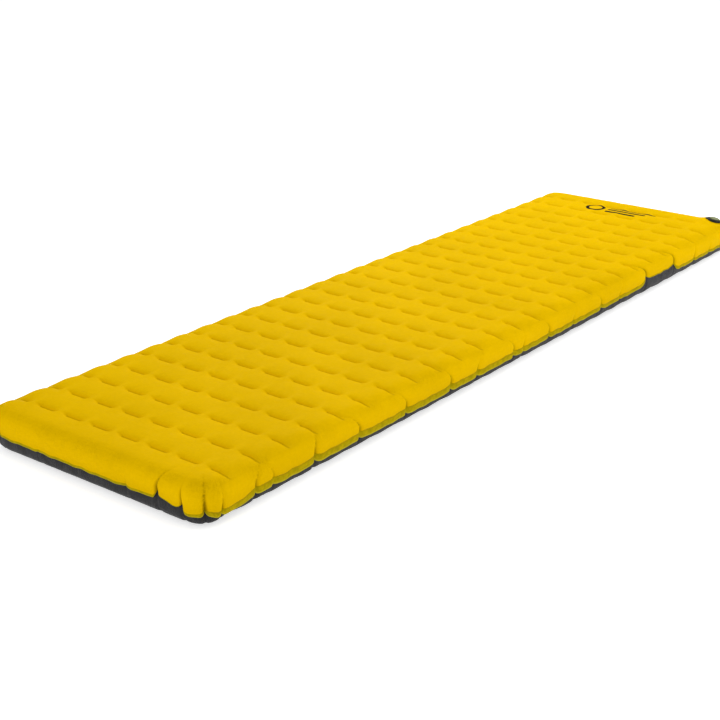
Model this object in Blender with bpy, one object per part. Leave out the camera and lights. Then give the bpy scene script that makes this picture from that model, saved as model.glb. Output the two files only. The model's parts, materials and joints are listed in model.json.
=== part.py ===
"""An inflatable sleeping pad: two fabric shells held apart by die-cut webs, with a flat valve.

Metres, +Z up. The origin is on the ground under the middle of the pad. +Y runs along the pad to
its head end, where the valve sits in the +X corner.
"""

import math

import bmesh
import bpy
from mathutils import Euler, Matrix, Vector

# The inflated pad
PAD_LENGTH = 1.830
PAD_WIDTH = 0.510
PAD_HEIGHT = 0.076
CORNER_RADIUS = 0.055
WALL = 0.001
GAP = 0.0003

# The lattice of short welds that ties each shell to the webs
COLUMNS = 8
ROWS = 26
COLUMN_PITCH = 0.065
ROW_PITCH = 0.068
WELD_HALF_LENGTH = 0.019
WELD_DEPTH = 0.010
PILLOW_FLAT = 0.55  # share of a cell under the pad that is flat on the ground

# The shells' sides: (inset from the outline, extra inset at a groove, height, extra depth at a groove)
TOP_LAP_Z = 0.024
BOTTOM_LAP_Z = 0.0345
LAP_INSET = WALL + GAP
TOP_SIDE = (
    (0.014, 0.000, 0.0725, 0.004),
    (0.004, 0.002, 0.0600, 0.000),
    (0.000, 0.003, 0.0400, 0.000),
    (0.000, 0.003, TOP_LAP_Z, 0.000),
)
BOTTOM_SIDE = (
    (0.016, 0.000, 0.0030, 0.005),
    (0.005, 0.002, 0.0120, 0.000),
    (LAP_INSET, 0.003, 0.0225, 0.000),
    (LAP_INSET, 0.003, BOTTOM_LAP_Z, 0.000),
)
CORNER_ANGLES = (15, 45, 75)

# The webs
WEB_THICKNESS = 0.0006
WEB_HALF_WIDTH = 0.238
WEB_NOTCH = 0.016

# The valve, in its own frame: w = 0 is the outside of the fabric round it
VALVE_PLACE = (0.220, 0.878, 0.0765)
VALVE_TILT = (math.radians(-5), math.radians(10), 0)
ROUND_SEGMENTS = 28
SHARP_ANGLE = 35
SEAT_RADIUS = 0.022
SEAT_SKIRT = 0.0015
SEAT_DEPTH = 0.013
SEAT_HOLE = 0.0123
FLANGE_RADIUS = 0.0195
FLANGE_TOP = -(WALL + GAP)
FLANGE_THICKNESS = 0.0012
COLLAR_OUTER = 0.0120
COLLAR_INNER = 0.0105
LIP_RADIUS = 0.0155
LIP_BOTTOM = GAP
LIP_TOP = 0.0013
PLUG_RADIUS = 0.0170
PLUG_BOTTOM = 0.0029
PLUG_TOP = 0.0043
PLUG_SKIRT = (0.0102, 0.0098)
PLUG_FLOOR = (-0.0035, -0.0025)
PORT_RADIUS = 0.0072
CAP_RADIUS = 0.0115
CAP_BOTTOM = 0.0055
CAP_TOP = 0.0070
CAP_SKIRT = (0.0069, 0.0064, 0.0052)
CAP_SKIRT_BOTTOM = 0.0005
SEAL_THICKNESS = 0.0006
STEM_RADIUS = 0.0011
HUB_RADIUS = 0.0015
BUTTON_RADIUS = 0.0028
BUTTON_TOP = 0.0016
BUTTON_THICKNESS = 0.0012
FLAP_RADIUS = 0.0066
FLAP_THICKNESS = 0.0008
FOOT_RADIUS = 0.0024
FOOT_THICKNESS = 0.0008
AIR_HOLES = 5
AIR_HOLE_RADIUS = 0.0016
AIR_HOLE_CIRCLE = 0.0044
AIR_HOLE_SEGMENTS = 12
AIR_HOLE_CUT = 0.003  # the cutter's length, well past both faces of the floor
STRAP_THICKNESS = 0.0010
PLUG_STRAP_HALF_WIDTH = 0.0050
PLUG_STRAP = (-0.0212, -0.0135)
PLUG_HINGE = (-0.0186, 0.0021)
CAP_STRAP_THICKNESS = 0.0006
CAP_STRAP_HALF_WIDTH = 0.0035
CAP_STRAP = (-0.0165, -0.0092)
CAP_HINGE = (-0.0128, 0.0049)
CAP_SEAL_RADIUS = 0.0088
PLUG_TAB_HALF_WIDTH = 0.0045
CAP_TAB_HALF_WIDTH = 0.00225
TAB_ROOT = 0.003  # how far a tab reaches into the rim it is part of
PLUG_TAB_REACH = 0.0215
CAP_TAB_REACH = 0.0150

BLACK_PLASTIC = (0.020, 0.021, 0.022)
BLACK_RUBBER = (0.030, 0.030, 0.032)
OLIVE_PLASTIC = (0.34, 0.38, 0.16)


def clear_scene():
    for thing in list(bpy.data.objects):
        bpy.data.objects.remove(thing, do_unlink=True)


def material(name, color, roughness, metallic=0.0):
    made = bpy.data.materials.new(name)
    made.use_nodes = True
    shader = made.node_tree.nodes["Principled BSDF"]
    shader.inputs["Base Color"].default_value = (*color, 1.0)
    shader.inputs["Roughness"].default_value = roughness
    shader.inputs["Metallic"].default_value = metallic
    made.diffuse_color = (*color, 1.0)
    return made


def add_object(name, bm, skin_material, round_piece=False):
    """One object from a bmesh, with its faces turned outwards."""
    bmesh.ops.recalc_face_normals(bm, faces=bm.faces)
    mesh = bpy.data.meshes.new(name)
    bm.to_mesh(mesh)
    bm.free()
    if round_piece:
        mesh.shade_smooth()
        mesh.set_sharp_from_angle(angle=math.radians(SHARP_ANGLE))
    mesh.materials.append(skin_material)
    made = bpy.data.objects.new(name, mesh)
    bpy.context.scene.collection.objects.link(made)
    return made


def bridge(bm, loop, other):
    """Quads between two closed loops of as many points."""
    for k in range(len(loop)):
        n = (k + 1) % len(loop)
        bm.faces.new((loop[k], other[k], other[n], loop[n]))


def guide(made):
    """A cutter or an added shape is only a tool: it isn't a piece of the pad."""
    made.hide_render = True
    made.display_type = "WIRE"
    return made


def boolean(made, operation, other):
    cut = made.modifiers.new(operation.lower(), "BOOLEAN")
    cut.operation = operation
    cut.solver = "EXACT"
    cut.object = other


# ---- shells ----


def column_x(i):
    return (i - (COLUMNS - 1) / 2) * COLUMN_PITCH


def row_y(j):
    return (j - (ROWS - 1) / 2) * ROW_PITCH


def lattice_edge():
    """The lattice's outer welds as (i, j), anticlockwise from the foot end's +X corner."""
    right = [(COLUMNS - 1, j) for j in range(ROWS - 1)]
    head = [(i, ROWS - 1) for i in range(COLUMNS - 1, 0, -1)]
    left = [(0, j) for j in range(ROWS - 1, 0, -1)]
    foot = [(i, 0) for i in range(COLUMNS - 1)]
    return right + head + left + foot


def side_station(x, y, side):
    """The outline's point and outward normal facing (x, y) on side 0 to 3, which is +X, +Y, -X or -Y."""
    normal = Vector([(1, 0), (0, 1), (-1, 0), (0, -1)][side])
    reach = PAD_WIDTH / 2 if side % 2 == 0 else PAD_LENGTH / 2
    along = Vector((x, y))
    return along + normal * (reach - along.dot(normal)), normal


def corner_stations(i, j):
    """The outline's points and normals round one corner, anticlockwise."""
    sign_x = 1 if i else -1
    sign_y = 1 if j else -1
    centre = Vector((
        sign_x * (PAD_WIDTH / 2 - CORNER_RADIUS),
        sign_y * (PAD_LENGTH / 2 - CORNER_RADIUS),
    ))
    start = {(1, -1): 270, (1, 1): 0, (-1, 1): 90, (-1, -1): 180}[(sign_x, sign_y)]
    found = []
    for turn in CORNER_ANGLES:
        angle = math.radians(start + turn)
        normal = Vector((math.cos(angle), math.sin(angle)))
        found.append((centre + normal * CORNER_RADIUS, normal))
    return found


def edge_plan():
    """Each outer weld's (i, j), its stations on the outline, and the station halfway to the next."""
    welds = lattice_edge()
    plan = []
    for k, (i, j) in enumerate(welds):
        ni, nj = welds[(k + 1) % len(welds)]
        side = {(0, 1): 0, (-1, 0): 1, (0, -1): 2, (1, 0): 3}[(ni - i, nj - j)]
        x, y = column_x(i), row_y(j)
        nx, ny = column_x(ni), row_y(nj)
        halfway = side_station((x + nx) / 2, (y + ny) / 2, side)
        if i in (0, COLUMNS - 1) and j in (0, ROWS - 1):
            stations = corner_stations(i, j)
        else:
            stations = [side_station(x, y, side)]
        plan.append(((i, j), stations, halfway))
    return plan


def skin(bm, weld_z, crest_z, sides, inset, flat_crests, plain_weld):
    """One skin of a shell: pillows between the welds, then rings down the side. Returns its last ring.

    inset moves the side rings inwards, for a shell's inner skin. plain_weld is a weld that is left out.
    """
    welds = {}
    for i in range(COLUMNS):
        for j in range(ROWS):
            z = crest_z if (i, j) == plain_weld else weld_z
            welds[i, j] = bm.verts.new((column_x(i), row_y(j), z))
    for i in range(COLUMNS - 1):
        for j in range(ROWS - 1):
            ring = [welds[i, j], welds[i + 1, j], welds[i + 1, j + 1], welds[i, j + 1]]
            middle_x = (column_x(i) + column_x(i + 1)) / 2
            middle_y = (row_y(j) + row_y(j + 1)) / 2
            centre = Vector((middle_x, middle_y, crest_z))
            if flat_crests:
                flat = []
                for corner in ring:
                    place = centre + (corner.co - centre) * PILLOW_FLAT
                    flat.append(bm.verts.new((place.x, place.y, crest_z)))
                bm.faces.new(flat)
                for k in range(4):
                    bm.faces.new((ring[k], ring[(k + 1) % 4], flat[(k + 1) % 4], flat[k]))
            else:
                crest = bm.verts.new(centre)
                for k in range(4):
                    bm.faces.new((ring[k], ring[(k + 1) % 4], crest))
    plan = edge_plan()
    rings = []
    for side_inset, groove_inset, side_z, groove_depth in sides:
        ring = []
        for _, stations, halfway in plan:
            groove = len(stations) == 1
            sink = groove_depth if weld_z < crest_z else -groove_depth
            for place, normal in stations:
                at = place - normal * (side_inset + inset + (groove_inset if groove else 0))
                ring.append(bm.verts.new((*at, side_z - (sink if groove else 0))))
            place, normal = halfway
            at = place - normal * (side_inset + inset)
            ring.append(bm.verts.new((*at, side_z)))
        rings.append(ring)
    step = 0
    for k, (here, stations, _) in enumerate(plan):
        weld = welds[here]
        following = welds[plan[(k + 1) % len(plan)][0]]
        first = rings[0]
        for s in range(len(stations)):
            bm.faces.new((weld, first[step + s], first[step + s + 1]))
        step += len(stations)
        bm.faces.new((weld, first[step], following))
        bm.faces.new((following, first[step], first[(step + 1) % len(first)]))
        step += 1
    for upper, lower in zip(rings, rings[1:]):
        bridge(bm, upper, lower)
    return rings[-1]


def shell(name, outer, inner, material_used):
    """A fabric shell: an outer and an inner skin, joined round the rim."""
    bm = bmesh.new()
    outer_rim = skin(bm, **outer)
    inner_rim = skin(bm, **inner)
    bridge(bm, outer_rim, inner_rim)
    return add_object(name, bm, material_used)


def top_shell(frame):
    """The upper fabric: it comes down the sides and laps over the lower fabric."""
    yellow = material("top_fabric", (0.72, 0.47, 0.0), 0.55)
    head_corner = (COLUMNS - 1, ROWS - 1)
    skin_of = dict(sides=TOP_SIDE, flat_crests=False, plain_weld=head_corner)
    made = shell(
        "top_shell",
        dict(weld_z=PAD_HEIGHT - WELD_DEPTH, crest_z=PAD_HEIGHT, inset=0, **skin_of),
        dict(weld_z=PAD_HEIGHT - WELD_DEPTH - WALL, crest_z=PAD_HEIGHT - WALL, inset=WALL, **skin_of),
        yellow,
    )
    room = SEAT_DEPTH * 2
    in_skirt = SEAT_RADIUS - SEAT_SKIRT
    cut = SEAT_RADIUS - SEAT_SKIRT / 2
    opening = turned("seat_opening", [(0, room), (cut, room), (cut, -room), (0, -room)], yellow)
    seat = turned("valve_seat", [
        (SEAT_HOLE, 0), (SEAT_RADIUS, 0), (SEAT_RADIUS, -SEAT_DEPTH),
        (in_skirt, -SEAT_DEPTH), (in_skirt, -WALL), (SEAT_HOLE, -WALL),
    ], yellow)
    for tool in (opening, seat):
        tool.parent = frame
        guide(tool)
    boolean(made, "DIFFERENCE", opening)
    boolean(made, "UNION", seat)
    return made


def bottom_shell():
    """The lower fabric: its pillows rest on the ground, and its edge stands up inside the upper fabric."""
    charcoal = material("bottom_fabric", (0.032, 0.033, 0.036), 0.6)
    skin_of = dict(sides=BOTTOM_SIDE, plain_weld=None)
    return shell(
        "bottom_shell",
        dict(weld_z=WELD_DEPTH, crest_z=0, inset=0, flat_crests=True, **skin_of),
        dict(weld_z=WELD_DEPTH + WALL, crest_z=WALL, inset=WALL, flat_crests=False, **skin_of),
        charcoal,
    )


# ---- webs ----


def web_mesh():
    """A die-cut web: a tab at each weld, notched between them, above and below."""
    low = WELD_DEPTH + WALL + GAP
    high = PAD_HEIGHT - WELD_DEPTH - WALL - GAP
    upper = [(-WEB_HALF_WIDTH, high)]
    for i in range(COLUMNS - 1):
        here, following = column_x(i), column_x(i + 1)
        upper += [
            (here + WELD_HALF_LENGTH, high),
            ((here + following) / 2, high - WEB_NOTCH),
            (following - WELD_HALF_LENGTH, high),
        ]
    upper.append((WEB_HALF_WIDTH, high))
    lower = [(x, low + high - z) for x, z in reversed(upper)]
    bm = bmesh.new()
    front = [bm.verts.new((x, -WEB_THICKNESS / 2, z)) for x, z in upper + lower]
    back = [bm.verts.new((x, WEB_THICKNESS / 2, z)) for x, z in upper + lower]
    bm.faces.new(front)
    bm.faces.new(back[::-1])
    bridge(bm, front, back)
    return bm


def webs():
    """One web under each row of welds, sharing a mesh."""
    grey = material("web_fabric", (0.45, 0.45, 0.44), 0.7)
    first = add_object("web_01", web_mesh(), grey)
    first.location.y = row_y(0)
    for j in range(1, ROWS):
        web = bpy.data.objects.new(f"web_{j + 1:02d}", first.data)
        bpy.context.scene.collection.objects.link(web)
        web.location.y = row_y(j)


# ---- valve ----


def turned(name, profile, skin_material, pivot=(0, 0, 0)):
    """A solid turned about w from a closed profile of (radius, w). A radius of 0 is on the axis."""
    bm = bmesh.new()
    rings = []
    for radius, w in profile:
        if radius == 0:
            rings.append([bm.verts.new((0, 0, w))] * ROUND_SEGMENTS)
            continue
        ring = []
        for k in range(ROUND_SEGMENTS):
            angle = 2 * math.pi * k / ROUND_SEGMENTS
            ring.append(bm.verts.new((radius * math.cos(angle), radius * math.sin(angle), w)))
        rings.append(ring)
    for upper, lower in zip(rings, rings[1:] + rings[:1]):
        if upper[0] is upper[1] and lower[0] is lower[1]:
            continue
        for k in range(ROUND_SEGMENTS):
            n = (k + 1) % ROUND_SEGMENTS
            corners = list(dict.fromkeys((upper[k], lower[k], lower[n], upper[n])))
            bm.faces.new(corners)
    bmesh.ops.translate(bm, verts=bm.verts, vec=-Vector(pivot))
    return add_object(name, bm, skin_material, round_piece=True)


def slab(name, lo, hi, skin_material, pivot=(0, 0, 0)):
    """A box between two corners."""
    bm = bmesh.new()
    bmesh.ops.create_cube(bm, size=1)
    size = Vector(hi) - Vector(lo)
    middle = (Vector(hi) + Vector(lo)) / 2
    bmesh.ops.scale(bm, verts=bm.verts, vec=size)
    bmesh.ops.translate(bm, verts=bm.verts, vec=middle - Vector(pivot))
    return add_object(name, bm, skin_material)


def empty(name, place, parent=None):
    made = bpy.data.objects.new(name, None)
    made.location = place
    made.parent = parent
    bpy.context.scene.collection.objects.link(made)
    return made


def hang(parent, *pieces):
    for piece in pieces:
        piece.parent = parent


def valve_base(frame, black):
    """The collar, with a flange welded under the fabric, a lip over it and a lug for the plug's strap."""
    flange_bottom = FLANGE_TOP - FLANGE_THICKNESS
    base = turned("valve_base", [
        (COLLAR_INNER, LIP_TOP), (LIP_RADIUS, LIP_TOP), (LIP_RADIUS, LIP_BOTTOM),
        (COLLAR_OUTER, LIP_BOTTOM), (COLLAR_OUTER, FLANGE_TOP), (FLANGE_RADIUS, FLANGE_TOP),
        (FLANGE_RADIUS, flange_bottom), (COLLAR_INNER, flange_bottom),
    ], black)
    lug = guide(slab(
        "strap_lug",
        (PLUG_STRAP[0], -PLUG_STRAP_HALF_WIDTH, LIP_BOTTOM),
        (-COLLAR_OUTER, PLUG_STRAP_HALF_WIDTH, LIP_TOP),
        black,
    ))
    boolean(base, "UNION", lug)
    hang(frame, base, lug)


def backing_patch(frame, black):
    """A soft ring under the flange that spreads its load into the fabric."""
    top = FLANGE_TOP - FLANGE_THICKNESS - GAP
    patch = turned("backing_patch", [
        (COLLAR_INNER + WALL, top), (FLANGE_RADIUS, top),
        (FLANGE_RADIUS, top - SEAL_THICKNESS), (COLLAR_INNER + WALL, top - SEAL_THICKNESS),
    ], black)
    hang(frame, patch)


def deflate_plug(hinge, black):
    """The big stopper: a brim, a skirt in the collar, and a floor with air holes under the port."""
    pivot = (PLUG_HINGE[0], 0, PLUG_HINGE[1])
    floor_low, floor_high = PLUG_FLOOR
    plug = turned("deflate_plug", [
        (PORT_RADIUS, PLUG_TOP), (PLUG_RADIUS, PLUG_TOP), (PLUG_RADIUS, PLUG_BOTTOM),
        (PLUG_SKIRT[0], PLUG_BOTTOM), (PLUG_SKIRT[1], floor_low), (HUB_RADIUS, floor_low),
        (HUB_RADIUS, floor_high), (PORT_RADIUS, floor_high),
    ], black, pivot)
    holes = bmesh.new()
    for k in range(AIR_HOLES):
        angle = 2 * math.pi * k / AIR_HOLES
        middle = (floor_low + floor_high) / 2
        place = Matrix.Translation((
            AIR_HOLE_CIRCLE * math.cos(angle), AIR_HOLE_CIRCLE * math.sin(angle), middle,
        ))
        bmesh.ops.create_cone(
            holes, cap_ends=True, segments=AIR_HOLE_SEGMENTS, radius1=AIR_HOLE_RADIUS,
            radius2=AIR_HOLE_RADIUS, depth=AIR_HOLE_CUT, matrix=place,
        )
    bmesh.ops.translate(holes, verts=holes.verts, vec=-Vector(pivot))
    cutter = guide(add_object("air_holes", holes, black))
    tab = guide(slab(
        "plug_tab", (PLUG_RADIUS - TAB_ROOT, -PLUG_TAB_HALF_WIDTH, PLUG_BOTTOM),
        (PLUG_TAB_REACH, PLUG_TAB_HALF_WIDTH, PLUG_TOP), black, pivot,
    ))
    boolean(plug, "DIFFERENCE", cutter)
    boolean(plug, "UNION", tab)
    hang(hinge, plug, cutter, tab)


def plug_seal(hinge, rubber):
    low = LIP_TOP + GAP
    seal = turned("plug_seal", [
        (PLUG_SKIRT[0] + GAP, low + SEAL_THICKNESS), (COLLAR_OUTER, low + SEAL_THICKNESS),
        (COLLAR_OUTER, low), (PLUG_SKIRT[0] + GAP, low),
    ], rubber, (PLUG_HINGE[0], 0, PLUG_HINGE[1]))
    hang(hinge, seal)


def plug_strap(frame, rubber):
    """The living hinge between the base's lug and the brim's underside."""
    low = LIP_TOP + GAP
    strap = slab(
        "plug_strap", (PLUG_STRAP[0], -PLUG_STRAP_HALF_WIDTH, low),
        (PLUG_STRAP[1], PLUG_STRAP_HALF_WIDTH, low + STRAP_THICKNESS), rubber,
    )
    hang(frame, strap)


def inflate_cap(hinge, olive):
    """The small lid over the inflation port, with a hollow skirt that plugs it."""
    pivot = (CAP_HINGE[0], 0, CAP_HINGE[1])
    cap = turned("inflate_cap", [
        (0, CAP_TOP), (CAP_RADIUS, CAP_TOP), (CAP_RADIUS, CAP_BOTTOM), (CAP_SKIRT[0], CAP_BOTTOM),
        (CAP_SKIRT[1], CAP_SKIRT_BOTTOM), (CAP_SKIRT[2], CAP_SKIRT_BOTTOM), (CAP_SKIRT[2], CAP_BOTTOM),
        (0, CAP_BOTTOM),
    ], olive, pivot)
    tab = guide(slab(
        "cap_tab", (CAP_RADIUS - TAB_ROOT, -CAP_TAB_HALF_WIDTH, CAP_BOTTOM),
        (CAP_TAB_REACH, CAP_TAB_HALF_WIDTH, CAP_TOP), olive, pivot,
    ))
    boolean(cap, "UNION", tab)
    hang(hinge, cap, tab)


def cap_seal(hinge, rubber):
    low = PLUG_TOP + GAP
    seal = turned("cap_seal", [
        (CAP_SKIRT[0] + GAP, low + SEAL_THICKNESS), (CAP_SEAL_RADIUS, low + SEAL_THICKNESS),
        (CAP_SEAL_RADIUS, low), (CAP_SKIRT[0] + GAP, low),
    ], rubber, (CAP_HINGE[0], 0, CAP_HINGE[1]))
    hang(hinge, seal)


def cap_strap(plug_hinge, rubber):
    """The living hinge between the plug's brim and the cap's underside."""
    low = PLUG_TOP + GAP
    strap = slab(
        "cap_strap", (CAP_STRAP[0], -CAP_STRAP_HALF_WIDTH, low),
        (CAP_STRAP[1], CAP_STRAP_HALF_WIDTH, low + CAP_STRAP_THICKNESS), rubber,
        (PLUG_HINGE[0], 0, PLUG_HINGE[1]),
    )
    hang(plug_hinge, strap)


def bleed_valve(plug_hinge, black, rubber):
    """The press button, with its stem through the plug's floor, and the one-way flap under the floor."""
    pivot = (PLUG_HINGE[0], 0, PLUG_HINGE[1])
    floor_low = PLUG_FLOOR[0]
    flap_top = floor_low - GAP
    flap_bottom = flap_top - FLAP_THICKNESS
    foot_top = flap_bottom - GAP
    button = turned("bleed_button", [
        (0, BUTTON_TOP), (BUTTON_RADIUS, BUTTON_TOP), (BUTTON_RADIUS, BUTTON_TOP - BUTTON_THICKNESS),
        (STEM_RADIUS, BUTTON_TOP - BUTTON_THICKNESS), (STEM_RADIUS, foot_top), (FOOT_RADIUS, foot_top),
        (FOOT_RADIUS, foot_top - FOOT_THICKNESS), (0, foot_top - FOOT_THICKNESS),
    ], black, pivot)
    flap = turned("one_way_flap", [
        (STEM_RADIUS + GAP, flap_top), (FLAP_RADIUS, flap_top), (FLAP_RADIUS, flap_bottom),
        (STEM_RADIUS + GAP, flap_bottom),
    ], rubber, pivot)
    hang(plug_hinge, button, flap)


def valve(frame):
    black = material("valve_plastic", BLACK_PLASTIC, 0.45)
    rubber = material("valve_rubber", BLACK_RUBBER, 0.65)
    olive = material("valve_cap", OLIVE_PLASTIC, 0.4)
    plug_hinge = empty("plug_hinge", (PLUG_HINGE[0], 0, PLUG_HINGE[1]), frame)
    cap_place = (CAP_HINGE[0] - PLUG_HINGE[0], 0, CAP_HINGE[1] - PLUG_HINGE[1])
    cap_hinge = empty("cap_hinge", cap_place, plug_hinge)
    valve_base(frame, black)
    backing_patch(frame, rubber)
    deflate_plug(plug_hinge, black)
    plug_seal(plug_hinge, rubber)
    plug_strap(frame, rubber)
    inflate_cap(cap_hinge, olive)
    cap_seal(cap_hinge, rubber)
    cap_strap(plug_hinge, rubber)
    bleed_valve(plug_hinge, black, rubber)


def main():
    clear_scene()
    frame = empty("valve_frame", VALVE_PLACE)
    frame.rotation_euler = Euler(VALVE_TILT)
    top_shell(frame)
    bottom_shell()
    webs()
    valve(frame)


main()
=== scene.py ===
"""The looks of an inflatable sleeping pad: two inflated fabric shells lapped at a welded edge, and a valve.

In the frame's own axes, in metres: +Y to the head end, +X to the valve's side, +Z up. A shell starts as a
flat sheet with fabric coordinates s across and t along. The sheet runs flat over the middle and turns down
round the edge, is held at its welds, and is inflated as cloth. A shallow valley is then shaped at each
weld, and the puckers of the edge are pressed in along their crease lines.
"""

import json
import math
import random
from collections import namedtuple

import bmesh
import bpy
import numpy as np
from mathutils import Matrix, Vector


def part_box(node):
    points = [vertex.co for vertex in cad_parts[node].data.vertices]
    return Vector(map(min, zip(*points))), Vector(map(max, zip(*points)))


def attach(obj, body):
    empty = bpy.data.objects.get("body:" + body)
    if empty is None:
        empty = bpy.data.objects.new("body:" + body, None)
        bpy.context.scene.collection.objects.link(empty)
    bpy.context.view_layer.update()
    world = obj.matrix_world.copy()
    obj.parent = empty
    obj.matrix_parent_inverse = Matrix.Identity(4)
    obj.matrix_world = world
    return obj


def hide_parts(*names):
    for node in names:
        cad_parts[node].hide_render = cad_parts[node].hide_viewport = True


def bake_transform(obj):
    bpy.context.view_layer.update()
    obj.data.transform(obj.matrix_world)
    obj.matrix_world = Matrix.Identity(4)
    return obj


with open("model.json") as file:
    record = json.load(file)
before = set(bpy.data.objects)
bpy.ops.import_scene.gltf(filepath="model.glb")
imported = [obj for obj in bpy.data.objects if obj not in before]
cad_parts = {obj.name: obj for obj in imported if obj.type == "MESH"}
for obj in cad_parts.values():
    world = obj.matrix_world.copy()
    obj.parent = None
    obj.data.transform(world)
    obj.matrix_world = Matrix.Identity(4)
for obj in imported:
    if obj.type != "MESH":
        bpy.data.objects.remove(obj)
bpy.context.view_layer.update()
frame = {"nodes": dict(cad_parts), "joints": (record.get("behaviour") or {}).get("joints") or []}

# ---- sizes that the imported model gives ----

PAD_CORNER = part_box("top_shell")[1]
HALF_WIDTH = PAD_CORNER.x
HALF_LENGTH = PAD_CORNER.y
ROWS = sum(name.startswith("web_") for name in frame["nodes"])
ROW_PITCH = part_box("web_02")[0].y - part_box("web_01")[0].y

# ---- the inflated shape ----

THICKNESS = 0.076
TUBE = THICKNESS / 2  # radius of the rounded edge
CORNER = 0.017  # plan radius of the flat top's corners, inside the rounded edge
CORE_X = HALF_WIDTH - TUBE - CORNER
CORE_Y = HALF_LENGTH - TUBE - CORNER
COLUMNS = 8
COLUMN_PITCH = 0.065
WELD_HALF = 0.0165  # pinned half length of a dash weld
WELD_TOP = 0.0655  # height of the welds of the top; those of the bottom mirror it
WELD_FADE_ACROSS = 0.014  # how far round a weld the fabric starts out drawn in
WELD_FADE_ALONG = 0.015
EXCESS = 1.036  # how much longer the fabric is than the smooth outline it is wrapped round
EDGE_HOLD = 0.78  # share of the cloth's bulge that the rounded edge holds back
EDGE_HOLD_TURN = 0.6  # how far round the edge, in radians, it does so fully
SIDE_SQUARENESS = 2.5  # 2 is a round edge, more is squarer
END_SQUARENESS = 3.3
PLAN_SQUARENESS = 2.6
VALLEY_DEPTH = 0.0030  # of the broad valley pressed in at each weld
VALLEY_HALF = 0.0315  # how far the valley's sides reach, along the pad
GROOVE_DEPTH = 0.0038  # of the groove in the valley's floor
GROOVE_WIDTH = 0.0034
TAPER_START = 0.014  # where valley and groove start to run out, across from the weld's middle
TAPER_END = 0.031
VALLEY_TURN = (0.1, 0.7)  # how far round the edge, in radians, the valleys fade out
CLOTH_SHARE = 0.14  # share of the cloth's own relief that is kept beside them

FOOT_HEIGHT = 0.0003  # the underside's pillows are flat where they stand

# ---- the mesh of a shell ----

CELLS = 12  # cells in a pitch of the weld lattice, both ways
CROWD = 1.25  # crowds the cells towards the weld rows
LAP_CELLS = 4  # rows of the welded lap, whose last one turns in as the cut edge

# ---- the lap, where the top fabric covers the bottom's edge ----

SIDE_LAP = 0.0138  # width of the lap along the long sides
END_LAP = 0.0042  # and across the ends
SEAM_TURN = math.radians(99)  # how far round the edge the top fabric's free part goes
SEAM_SINK = 0.0020  # how deep the weld line is drawn in
LAP_SINK = 0.0013
TUCK_SINK = 0.0042  # how far in the bottom fabric stands behind the lap's free edge
LAP_GAP = 0.0006  # and behind the weld line
EDGE_TURN_IN = 0.0012  # how far the lap's cut edge turns in

Skin = namedtuple("Skin", "name up seam_turn lap_turn side_cells end_cells")
TOP = Skin("top_fabric", 1, SEAM_TURN, SIDE_LAP / TUBE, 11, 15)
BOTTOM = Skin("bottom_fabric", -1, math.pi - SEAM_TURN - SIDE_LAP / TUBE, SIDE_LAP / TUBE, 8, 12)

# A pucker of the edge: where it is on the outline, how far along its crease starts, how far up the edge the
# crease runs, how much it lifts the lap and how deep it is.
Pucker = namedtuple("Pucker", "x y shift height lift depth")

# The long side with the valve, each pucker as its place along the pad and its size, up to 3.
VALVE_SIDE_PUCKERS = (
    (-0.80, 1.7), (-0.76, 1.3), (-0.66, 2.0), (-0.545, 1.9), (-0.415, 1.7), (-0.28, 1.8),
    (-0.195, 1.3), (-0.07, 1.6), (-0.035, 1.0), (0.06, 1.7), (0.155, 1.0), (0.27, 1.6), (0.35, 1.1),
    (0.47, 2.9), (0.605, 2.9), (0.71, 1.3), (0.79, 0.9),
)  # fmt: skip
# The foot end, each as its place across, how far its crease leans over, and its size.
FOOT_PUCKERS = (
    (-0.215, 0.013, 1.6), (-0.118, 0, 0.6), (0.086, 0, 0.7), (0.152, 0.018, 2.4), (0.204, 0, 2.1),
)  # fmt: skip
# The corner between them, each as its angle in degrees from the foot end round to the valve's side, and its
# size.
CORNER_PUCKERS = ((45, 2.6), (76, 1.5))
# A stretch where the lap is hitched up under the edge, or hangs lower: its middle on the outline, half its
# length, how gradually it begins and how far up the lap goes.
Stretch = namedtuple("Stretch", "x y half blend rise")
HITCHES = (Stretch(0.255, 0.537, 0.080, 0.016, 0.0065), Stretch(0.178, -0.915, 0.032, 0.006, 0.0060))
SAGS = (Stretch(0.241, -0.901, 0.170, 0.120, -0.0095), Stretch(0.255, 0.780, 0.185, 0.045, -0.0035))
SIDE_RISE = 0.0015  # how much higher the seam stands along the sides than across the ends
CREASE_HEIGHT = (0.024, 0.018)  # how far up a pucker's crease runs: at size 0, and more for each size
PUCKER_LIFT = 0.0012  # how much a pucker of size 1 lifts the lap
LIFT_POWER = 1.8
PUCKER_DEPTH = 0.0036  # how deep a pucker of size 1 is
CUSP_REACH = 0.005  # how far beside a pucker the lap is lifted, besides its lift
BOTTOM_DENT = 0.75  # share of the creases' depth that the bottom fabric takes
TOP_DENT_AT_LAP = 1.1  # and that it takes where it ends behind the weld line
CREASE_WIDTHS = (0.0014, 0.0027)  # before and past the crease line
WAVE_HEIGHT = 0.0006
WAVES = ((0.047, 1.0, 0), (0.031, 0.8, 1))  # the lap's waviness: each wave's period, weight and phase
FAR_NARROWING = 0.7  # how much of the way the lap narrows to END_LAP towards the head end
NARROWING_ALONG = (-0.4, 0.7)  # where along the pad it does so
HITCH_NARROWING = 0.75  # how much narrower the lap shows where it is hitched up
LOW_START = 0.35  # turn round the edge where the lap's lift starts to tell, in radians


def column_x(i):
    return (i - (COLUMNS - 1) / 2) * COLUMN_PITCH


def row_y(j):
    return (j - (ROWS - 1) / 2) * ROW_PITCH


def smooth_step(x, low, high):
    share = np.clip((x - low) / (high - low), 0, 1)
    return share * share * (3 - 2 * share)


# ---- from fabric coordinates to the inflated outline ----


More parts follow.
